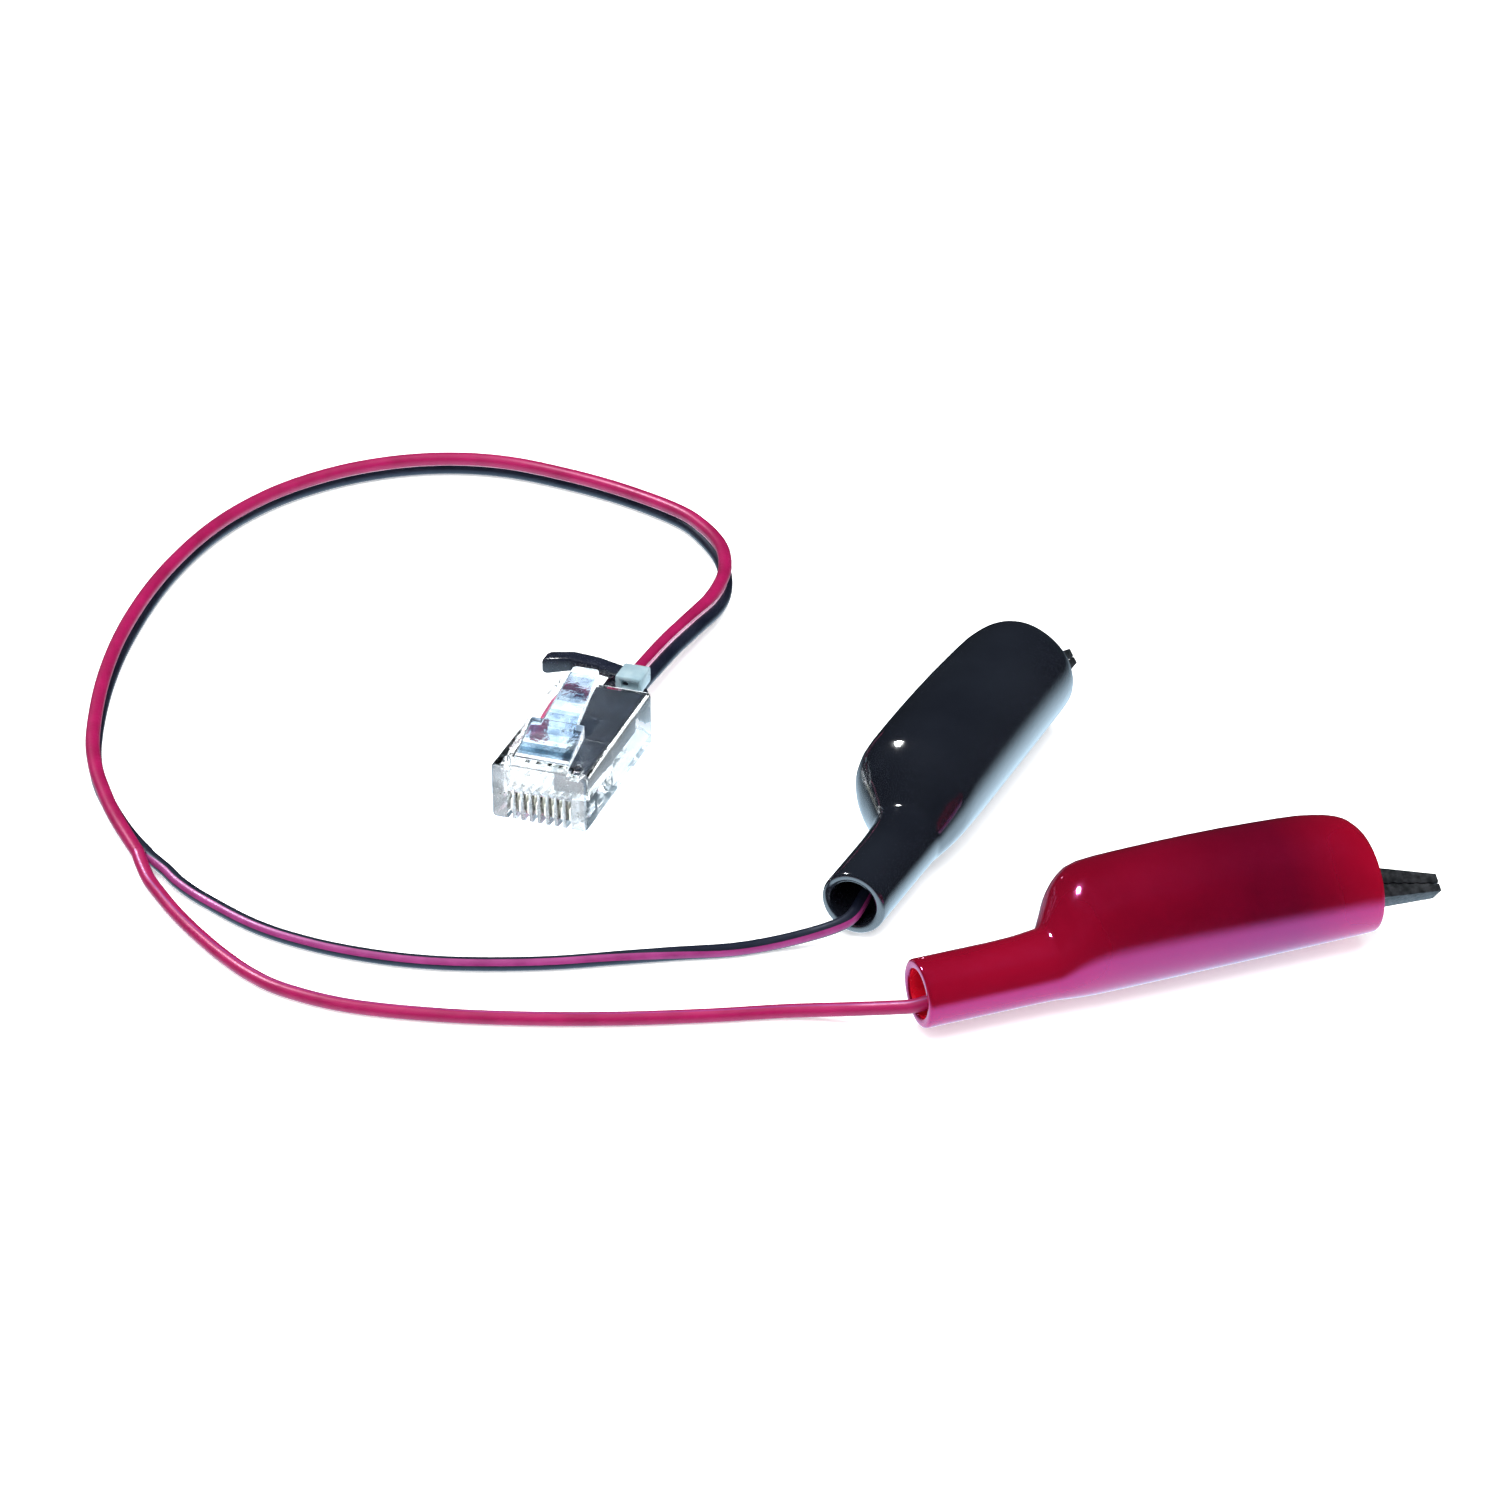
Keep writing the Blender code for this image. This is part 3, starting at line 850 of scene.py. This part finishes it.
def add_pair():
    """The twin cord: a red and a black lobe, joined by a web in the two notches; the web and
    the red faces beside it are painted pale pink, a painted highlight along the join.
    """
    lobe = 0.84  # radius
    centre = 0.78  # from the middle of the section
    web = 0.86  # thickness between the notches
    notch = math.degrees(math.asin(web / 2 / lobe))
    around = 18
    section = []
    strips = []
    for side, index in ((1.0, 0), (-1.0, 1)):
        for step in range(around + 1):
            turn = math.radians(-180 + notch + (360 - 2 * notch) * step / around)
            out, up = centre + lobe * math.cos(turn), lobe * math.sin(turn)
            section.append((side * out, side * up))
            strips.append(index)
        strips[-1] = 2
    # The red faces on either side of the join also take the painted highlight.
    strips[0] = 2
    strips[around - 1] = 2
    route, length = smooth_route(PAIR_ROUTE, 0.7)
    mesh = swept(
        route,
        section,
        lambda share: eased(PAIR_TWIST, share),
        lambda share: eased(((0.0, 1.0), (0.96, 1.0), (1.0, 0.93)), share),
    )
    paint_strips(mesh, strips)
    piece = put(
        "twin_cord",
        mesh,
        Matrix.Scale(MM, 4),
        (RED_WIRE, BLACK_WIRE, WEB_HIGHLIGHT),
        "lead",
        ("cord_pair",),
    )


def add_lead(name, node, points, finishes, spans, twist):
    """One leg of the split cord, with a pink band where `spans` has one: a painted highlight
    along the red leg, a stripe along the black one.
    """
    sides = 24
    route, length = smooth_route(points, 0.6)
    mesh = swept(route, circle(LEAD_DIAMETER / 2 + 0.02, sides), twist)
    paint_strips(mesh, by_angle(sides, spans))
    piece = put(name, mesh, Matrix.Scale(MM, 4), finishes, "lead", (node,))


add_pair()
add_lead(
    "red_leg",
    "red_lead",
    RED_ROUTE,
    (RED_WIRE, STRIPE_AND_HIGHLIGHT),
    # The pink band along the top of the red leg is a painted highlight.
    ((90, 105, 1),),
    lambda share: eased(((0.0, 20.0), (0.3, -10.0), (1.0, 15.0)), share),
)
add_lead(
    "black_leg",
    "black_lead",
    BLACK_ROUTE,
    (BLACK_WIRE, STRIPE_AND_HIGHLIGHT),
    ((105, 165, 1),),
    lambda share: eased(
        ((0.0, 30.0), (0.06, 0.0), (0.6, 0.0), (0.8, 45.0), (1.0, 30.0)), share
    ),
)


# Boots

BOOT_LENGTH = 52.7
BOOT_WALL = 1.05
BOOT_SIDES = 72
# x, underside, top, width
BOOT_STATIONS = (
    (0.0, 0.0, 7.5, 7.5),
    (9.0, 0.0, 7.5, 7.5),
    (14.6, -0.02, 7.9, 7.9),
    (15.9, -0.09, 9.5, 9.6),
    (17.4, -0.18, 11.8, 12.1),
    (18.9, -0.25, 13.25, 13.7),
    (20.5, -0.28, 14.05, 14.5),
    (24.0, -0.28, 14.3, 14.8),
    (34.0, -0.28, 14.45, 14.2),
    (46.0, -0.26, 14.1, 13.05),
    (49.5, -0.24, 13.6, 12.6),
    (51.6, -0.21, 12.9, 12.0),
    (52.7, -0.17, 11.8, 11.1),
)


# Rings round the two ends, as (x, inset): over the mouth's lip into the boot, and out of
# the tube's bore over its rim.
MOUTH_LIP = ((52.68, 0.08), (52.7, 0.22), (52.6, 0.36), (52.3, 0.5))
TUBE_BORE = ((6.0, BOOT_WALL), (1.0, BOOT_WALL), (0.25, BOOT_WALL))
TUBE_RIM = (
    (0.07, BOOT_WALL - 0.08),
    (0.0, BOOT_WALL - 0.25),
    (0.0, 0.35),
    (0.04, 0.18),
    (0.16, 0.05),
)


def boot_ring(x, inset):
    low, high, wide = eased(BOOT_STATIONS, min(max(x, 0.0), BOOT_LENGTH))
    middle = (low + high) / 2
    half_width = wide / 2 - inset
    half_height = (high - low) / 2 - inset
    circled = circle(1.0, BOOT_SIDES)
    return [(x, across * half_width, middle + up * half_height) for across, up in circled]


# How much painted shade darkens the red boot, by share of the boot's length: most towards the
# front, least at the tube and none at the mouth; part of it is the metal inside showing through
# the vinyl.
SHADE_AND_METAL_BEHIND = (
    (0.0, 0.3),
    (0.2, 0.35),
    (0.3, 0.4),
    (0.42, 0.55),
    (0.6, 0.72),
    (0.78, 0.9),
    (0.86, 0.65),
    (0.94, 0.3),
    (1.0, 0.0),
)


def add_boot(colour, finish, lining, place):
    outer = [0.35, 1.5, 3.0, 6.0, 9.0, 11.0, 12.4, 13.2]
    outer += [13.8 + 0.35 * step for step in range(18)]
    outer += [21.0, 23.0, 26.0, 30.0, 34.0, 38.0, 42.0, 45.0, 47.0, 48.5, 49.5]
    outer += [50.4, 51.2, 51.8, 52.2, 52.5]
    rings = [boot_ring(x, 0.0) for x in outer]
    rings += [boot_ring(x, inset) for x, inset in MOUTH_LIP]
    rings += [boot_ring(x, BOOT_WALL) for x in reversed(outer[5:-5])]
    rings += [boot_ring(x, inset) for x, inset in TUBE_BORE + TUBE_RIM]
    mesh = loft(rings, closed=True)
    mesh.faces.ensure_lookup_table()
    # Faces inside the boot take the second finish, which on the red boot is painted light.
    lined = range(len(outer) + 3, len(rings) - 6)
    for index, face in enumerate(mesh.faces):
        face.material_index = int(index // BOOT_SIDES in lined)
    piece = put(
        f"{colour}_boot_skin",
        mesh,
        place,
        (finish, lining),
        "lead",
        (f"{colour}_boot",),
    )
    # Each point keeps how much painted shade darkens it, partly the metal inside showing
    # through.
    behind = piece.data.attributes.new("painted_shade_and_metal", "FLOAT", "POINT")
    back = place.inverted()
    for vertex in piece.data.vertices:
        share = (back @ vertex.co).x / BOOT_LENGTH
        behind.data[vertex.index].value = eased(SHADE_AND_METAL_BEHIND, share)


# Clips

PIVOT_X = 34.0
PIVOT_Z = 8.2
CLIP_TIP = 61.4
SHEET = 0.6
# x, web of the channel, edge of its walls, half width; the toothed tip follows on.
LOWER_JAW = (
    (8.2, 2.2, 3.4, 1.6),
    (13.0, 2.2, 3.4, 1.6),
    (17.0, 2.6, 4.8, 2.4),
    (22.0, 3.4, 5.8, 3.2),
    (28.0, 3.6, 8.6, 3.4),
    (31.0, 3.6, 10.0, 3.4),
    (36.6, 3.6, 10.0, 3.4),
    (38.4, 3.6, 7.2, 3.4),
)
UPPER_JAW = (
    (20.4, 12.1, 11.2, 2.0),
    (21.6, 12.3, 11.0, 2.4),
    (28.0, 12.2, 10.3, 2.4),
    (31.0, 12.1, 6.8, 2.4),
    (36.2, 11.6, 6.8, 2.4),
    (38.4, 11.1, 8.5, 2.4),
    (39.6, 10.8, 8.2, 3.3),
)
TEETH_START = 40.5
TOOTH_PITCH = 1.3
TOOTH_DEPTH = 0.4
# Where the upper jaw's back turns from steep to flat.
BACK_BEND = 53.0
# y and radius, from one head of the rivet to its shank; the other end mirrors it.
RIVET_PROFILE = (
    (-4.1, 0.9),
    (-4.02, 1.35),
    (-3.86, 1.68),
    (-3.7, 1.8),
    (-3.65, 1.78),
    (-3.65, 1.1),
)
COIL_RADIUS = 1.75
COIL_HALF_WIDTH = 1.3
COIL_START = 210.0
COIL_TURNED = 1050.0


def between(x, x0, x1, value0, value1):
    return value0 + (value1 - value0) * (x - x0) / (x1 - x0)


def channel(stations, upward):
    """Sheet metal folded to a U that opens upward or downward."""
    rings = []
    for x, floor, wall, half in stations:
        inner = half - SHEET
        web = floor + (SHEET if upward else -SHEET)
        ring = [(-half, floor), (half, floor), (half, wall), (inner, wall)]
        ring += [(inner, web), (-inner, web), (-inner, wall), (-half, wall)]
        rings.append([(x, a, b) for a, b in ring])
    return loft(rings)


def toothed(slope_from, slope_to):
    """A zigzag edge (x, height) that gets shallower to the tip; both jaws use it, so
    their teeth mesh."""
    end = CLIP_TIP - 0.6
    reach = end - TEETH_START
    count = int(reach / TOOTH_PITCH)
    found = []
    for index in range(count * 2 + 1):
        x = TEETH_START + reach * index / (count * 2)
        share = (x - TEETH_START) / reach
        height = between(x, TEETH_START, end, slope_from, slope_to)
        notch = TOOTH_DEPTH * (1.0 - 0.75 * share) if index % 2 else 0.0
        found.append((x, height - notch))
    return found


def tip_width(x):
    """Half the width of a jaw's tip."""
    return between(x, 39.0, CLIP_TIP, 3.3, 1.3)


def pivot_bore(radius):
    outline = circle(radius, 32)
    ends = (-6.0, 6.0)
    return loft([[(PIVOT_X + a, y, PIVOT_Z + b) for a, b in outline] for y in ends])


def add_jaws(colour, place):
    lower = list(LOWER_JAW)
    for x, edge in toothed(6.72, 3.05):
        lower.append((x, between(x, 39.0, CLIP_TIP, 3.6, 2.1), edge, tip_width(x)))
    mesh = combined(channel(lower, True), [("DIFFERENCE", pivot_bore(1.25))])
    put(
        f"{colour}_jaw_below",
        soften(mesh, 0.12),
        place,
        (STEEL,),
        "lead",
        (f"{colour}_lower_jaw",),
    )
    upper = list(UPPER_JAW)
    for x, edge in toothed(6.8, 3.13):
        if x < BACK_BEND:
            top = between(x, 39.0, BACK_BEND, 10.9, 6.4)
        else:
            top = between(x, BACK_BEND, CLIP_TIP, 6.4, 4.0)
        upper.append((x, top, edge, tip_width(x)))
    mesh = combined(channel(upper, False), [("DIFFERENCE", pivot_bore(1.15))])
    put(
        f"{colour}_jaw_above",
        soften(mesh, 0.12),
        place,
        (STEEL,),
        f"{colour}_jaw",
        (f"{colour}_upper_jaw",),
    )


def add_rivet(colour, place):
    rings = []
    mirrored = tuple((-y, radius) for y, radius in reversed(RIVET_PROFILE))
    for y, radius in RIVET_PROFILE + mirrored:
        rings.append([(PIVOT_X + a, y, PIVOT_Z + b) for a, b in circle(radius, 32)])
    put(
        f"{colour}_pivot_rivet",
        loft(rings),
        place,
        (BRIGHT_STEEL,),
        "lead",
        (f"{colour}_rivet",),
    )


def tube(points, radius, sides, spacing):
    """A wire of a round section along points, with no preferred up."""
    route, _ = smooth_route(points, spacing)
    rings = []
    up = Vector((0.0, 1.0, 0.0))
    for index, point in enumerate(route):
        ahead = route[min(index + 1, len(route) - 1)]
        behind = route[max(index - 1, 0)]
        along = (ahead - behind).normalized()
        side = along.cross(up)
        if side.length < 0.2:
            side = along.cross(Vector((0.0, 0.0, 1.0)))
        side.normalize()
        up = side.cross(along).normalized()
        rings.append([point + side * a + up * b for a, b in circle(radius, sides)])
    return loft(rings)


def add_spring(colour, place):
    """A coil round the rivet with a leg on each jaw."""
    lower_leg = [(27.0, -1.3, 4.8), (29.0, -1.3, 5.15), (30.6, -1.3, 5.6)]
    upper_leg = [(30.6, 1.3, 10.2), (28.0, 1.3, 10.8), (26.0, 1.3, 11.1)]
    coiled = []
    steps = 54
    for step in range(steps + 1):
        share = step / steps
        turn = math.radians(COIL_START + COIL_TURNED * share)
        y = -COIL_HALF_WIDTH + 2 * COIL_HALF_WIDTH * share
        x = PIVOT_X + COIL_RADIUS * math.cos(turn)
        z = PIVOT_Z + COIL_RADIUS * math.sin(turn)
        coiled.append((x, y, z))
    piece = put(
        f"{colour}_torsion_spring",
        tube(lower_leg + coiled + upper_leg, 0.3, 10, 0.35),
        place,
        (BRIGHT_STEEL,),
        None,
        (f"{colour}_spring",),
    )
    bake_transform(piece)


def add_strands(colour, place):
    """Six fine wires laid round a seventh."""
    core = ((6.9, 0.0, 3.75), (8.4, 0.0, 3.75), (9.6, 0.0, 3.75), (15.0, 0.0, 3.85))
    spacing = 0.4
    lay = 9.0  # length of one full turn
    route, _ = smooth_route(core, spacing)
    whole = bmesh.new()
    for strand in range(7):
        points = []
        for index, point in enumerate(route):
            turn = 2.0 * math.pi * (strand / 6 + index * spacing / lay)
            reach = 0.33 if strand < 6 else 0.0
            points.append(point + Vector((0.0, reach * math.cos(turn), reach * math.sin(turn))))
        part = tube(points, 0.16, 8, spacing)
        scratch = bpy.data.meshes.new("scratch")
        part.to_mesh(scratch)
        part.free()
        whole.from_mesh(scratch)
        bpy.data.meshes.remove(scratch)
    put(
        f"{colour}_copper",
        whole,
        place,
        (COPPER,),
        "lead",
        (f"{colour}_strands",),
    )


VINYLS = {"red": (RED_SKIN, RED_INSIDE_LIT), "black": (BLACK_SKIN, BLACK_LINING)}
for colour, (skin, lining) in VINYLS.items():
    clip = frame_of(*CLIPS[colour], CLIP_PITCH, TUBE_AXIS_Z)
    add_boot(colour, skin, lining, clip)
    add_jaws(colour, clip)
    add_rivet(colour, clip)
    add_spring(colour, clip)
    add_strands(colour, clip)


# Plug

PLUG_WIDTH = 11.68
PLUG_LENGTH = 21.46
PLUG_HEIGHT = 7.0
CONTACTS = 8
PITCH = 1.02


def rounded_outline(half, low, high, radius, steps=3):
    outline = []
    corners = ((half, high, 0), (-half, high, 90), (-half, low, 180), (half, low, 270))
    for x, z, start in corners:
        cx = x - math.copysign(radius, x)
        cz = z - radius if z == high else z + radius
        for step in range(steps + 1):
            turn = math.radians(start + 90.0 * step / steps)
            outline.append((cx + radius * math.cos(turn), cz + radius * math.sin(turn)))
    return outline


def add_housing(place):
    half = PLUG_WIDTH / 2
    # y of each ring and how far it is drawn in, so that both ends are eased
    ends = ((0.0, 0.3), (0.12, 0.1), (0.35, 0.0), (PLUG_LENGTH - 0.25, 0.0), (PLUG_LENGTH, 0.2))
    rings = []
    for y, inset in ends:
        outline = rounded_outline(half - inset, inset, PLUG_HEIGHT - inset, 0.55 - inset / 2)
        rings.append([(x, y, z) for x, z in outline])
    latch_root = box(-3.4, 3.4, 0.05, 0.75, PLUG_HEIGHT - 0.5, 7.95)
    rear_cavity = box(-5.2, 5.2, 9.0, PLUG_LENGTH + 1.0, 1.3, 6.4)
    front_cavity = box(-4.2, 5.15, 1.7, 9.5, 3.5, 6.35)
    wedge_window = box(-3.4, 3.4, 11.6, 16.6, -1.0, 2.0)
    changes = [("UNION", latch_root)]
    changes += [("DIFFERENCE", cut) for cut in (rear_cavity, front_cavity, wedge_window)]
    for index in range(CONTACTS):
        middle = (index - 3.5) * PITCH
        slot = box(middle - 0.31, middle + 0.31, -1.0, 5.2, -1.0, 3.8)
        changes.append(("DIFFERENCE", slot))
    for side in (-1.0, 1.0):
        pocket = sorted((side * 3.6, side * 4.7))
        changes.append(("DIFFERENCE", box(*pocket, 0.7, 2.3, 6.2, 8.0)))
    mesh = combined(loft(rings), changes)
    mesh = soften(mesh, 0.12, 2)
    mesh.normal_update()
    # The nose's front faces are painted shade: bluish grey on the corner posts, pale grey
    # between them.
    for face in mesh.faces:
        middle = face.calc_center_median()
        if face.normal.y < -0.7 and middle.y < 0.3:
            face.material_index = 1 if abs(middle.x) > 4.2 else 2
    finishes = (CLEAR, NOSE_POST_SHADE, NOSE_COMB_SHADE)
    piece = put(
        "plug_body", mesh, place, finishes, "lead", ("plug_housing",)
    )
    piece.visible_shadow = False


def add_latch(place):
    """The lever: one clear plastic painted in bands of painted light and painted shade, with a
    painted shadow at its bend and a painted highlight on its right edge and ends.
    """
    # Finishes of the lever, all one clear plastic: painted light, painted shade, a painted
    # shadow at the bend and a painted highlight.
    lit_band, shade_band, shadow_band, highlight_band = range(4)
    rise = math.tan(math.radians(16.0))
    # along, underside, top, width, finish of the stretch that follows
    stations = (
        (-0.32, -0.10, 0.10, 6.6, highlight_band),
        (-0.15, -0.32, 0.30, 6.6, highlight_band),
        (0.3, -0.4, 0.4, 6.6, lit_band),
        # From here to 2.0 the lever is painted dark, a painted shadow where it bends.
        (0.7, -0.4, 0.42, 6.6, shadow_band),
        (2.0, -0.42, 0.5, 6.6, lit_band),
        (3.4, -0.45, 0.75, 6.6, shade_band),
        (4.9, -0.45, 1.0, 6.6, shade_band),
        (5.3, -0.45, 1.0, 6.4, lit_band),
        (5.45, -0.4, 0.5, 4.2, shade_band),
        (7.6, -0.4, 0.42, 4.0, lit_band),
        (9.6, -0.4, 0.4, 3.8, shade_band),
        (13.6, -0.4, 0.4, 3.4, highlight_band),
        (14.4, -0.4, 0.4, 3.2, highlight_band),
        (14.8, -0.2, 0.2, 2.6, highlight_band),
    )
    rings = []
    for along, low, high, width, _ in stations:
        y = 1.25 + along
        z = 7.6 + max(along, 0.0) * rise
        corners = ((-1, low), (1, low), (1, high), (-1, high))
        rings.append([(side * width / 2, y, z + height) for side, height in corners])
    mesh = loft(rings)
    mesh.faces.ensure_lookup_table()
    # The lever's right edge and its two ends take the painted highlight.
    for index, face in enumerate(mesh.faces[:-2]):
        right_edge = index % 4 == 1
        face.material_index = highlight_band if right_edge else stations[index // 4][4]
    piece = put(
        "latch_tab",
        soften(mesh, 0.14, 3, 25.0),
        place,
        (LATCH_PAINTED_LIGHT, LATCH_PAINTED_SHADE, LATCH_BEND_SHADOW, LATCH_EDGE_HIGHLIGHT),
        "latch",
        ("latch_lever",),
    )
    piece.visible_shadow = False


def add_plug_inside(place):
    red = (
        (-1.8, 20.6, 4.1),
        (-3.2, 20.4, 4.8),
        (-4.2, 18.8, 5.2),
        (-4.3, 15.5, 5.3),
        (-4.1, 12.5, 5.0),
        (-3.4, 10.6, 4.4),
    )
    put(
        "inner_red_conductor",
        tube(red, LEAD_DIAMETER / 2, 24, 0.5),
        place,
        (RED_WIRE,),
        "lead",
        ("plug_red_conductor",),
    )
    rings = []
    for y, low, high, left, right in (
        (2.0, 4.05, 6.1, 1.3, 4.85),
        (9.6, 4.05, 6.15, 0.1, 4.95),
        (16.8, 4.05, 6.15, -0.5, 4.95),
        (17.0, 5.55, 6.15, -0.5, 4.95),
        (21.2, 5.55, 6.15, -1.0, 4.95),
    ):
        rings.append([(left, y, low), (right, y, low), (right, y, high), (left, y, high)])
    put(
        "inner_black_sleeve",
        soften(loft(rings), 0.2, 3),
        place,
        (SLEEVE,),
        "lead",
        ("plug_black_sleeve",),
    )


def add_tie(place):
    centre_x, centre_z = 1.15, 3.55
    rings = []
    for y, radius in ((23.2, 2.95), (25.6, 2.95), (25.6, 2.1), (23.2, 2.1)):
        rings.append([(centre_x + a, y, centre_z + b) for a, b in circle(radius, 48)])
    mesh = soften(loft(rings, closed=True), 0.12)
    put("tie_band", mesh, place, (STRAP,), "lead", ("cord_tie",))
    block = box(0.9, 4.2, 22.5, 25.9, 5.8, 7.8)
    strap_slot = box(1.6, 3.7, 21.0, 23.8, 6.3, 7.2)
    head = combined(block, [("DIFFERENCE", strap_slot)])
    # The head's pale colour is a painted reflection.
    put("tie_head", soften(head, 0.3, 3), place, (TIE_HEAD_REFLECTION,), "lead", ())
    # x, middle height, height of the section
    stations = (
        (1.4, 7.0, 1.2),
        (-2.0, 7.6, 1.4),
        (-5.2, 7.6, 1.8),
        (-8.1, 6.9, 2.1),
        (-8.7, 6.8, 1.6),
    )
    tail = []
    for x, z, high in stations:
        low, top = z - high / 2, z + high / 2
        tail.append([(x, 23.4, low), (x, 25.4, low), (x, 25.4, top), (x, 23.4, top)])
    put("tie_tail", soften(loft(tail), 0.3, 3), place, (STRAP,), "lead", ())


plug = frame_of((*PLUG_AT, 0.0), PLUG_YAW)
add_housing(plug)
add_latch(plug)
add_plug_inside(plug)
add_tie(plug)

# These keep their CAD shape and only get a finish.
kept = {"strain_relief_wedge": CLEAR}
kept.update({f"contact_{index + 1}": GOLD for index in range(CONTACTS)})
for node, finish in kept.items():
    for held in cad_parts[node].material_slots:
        held.material = finish
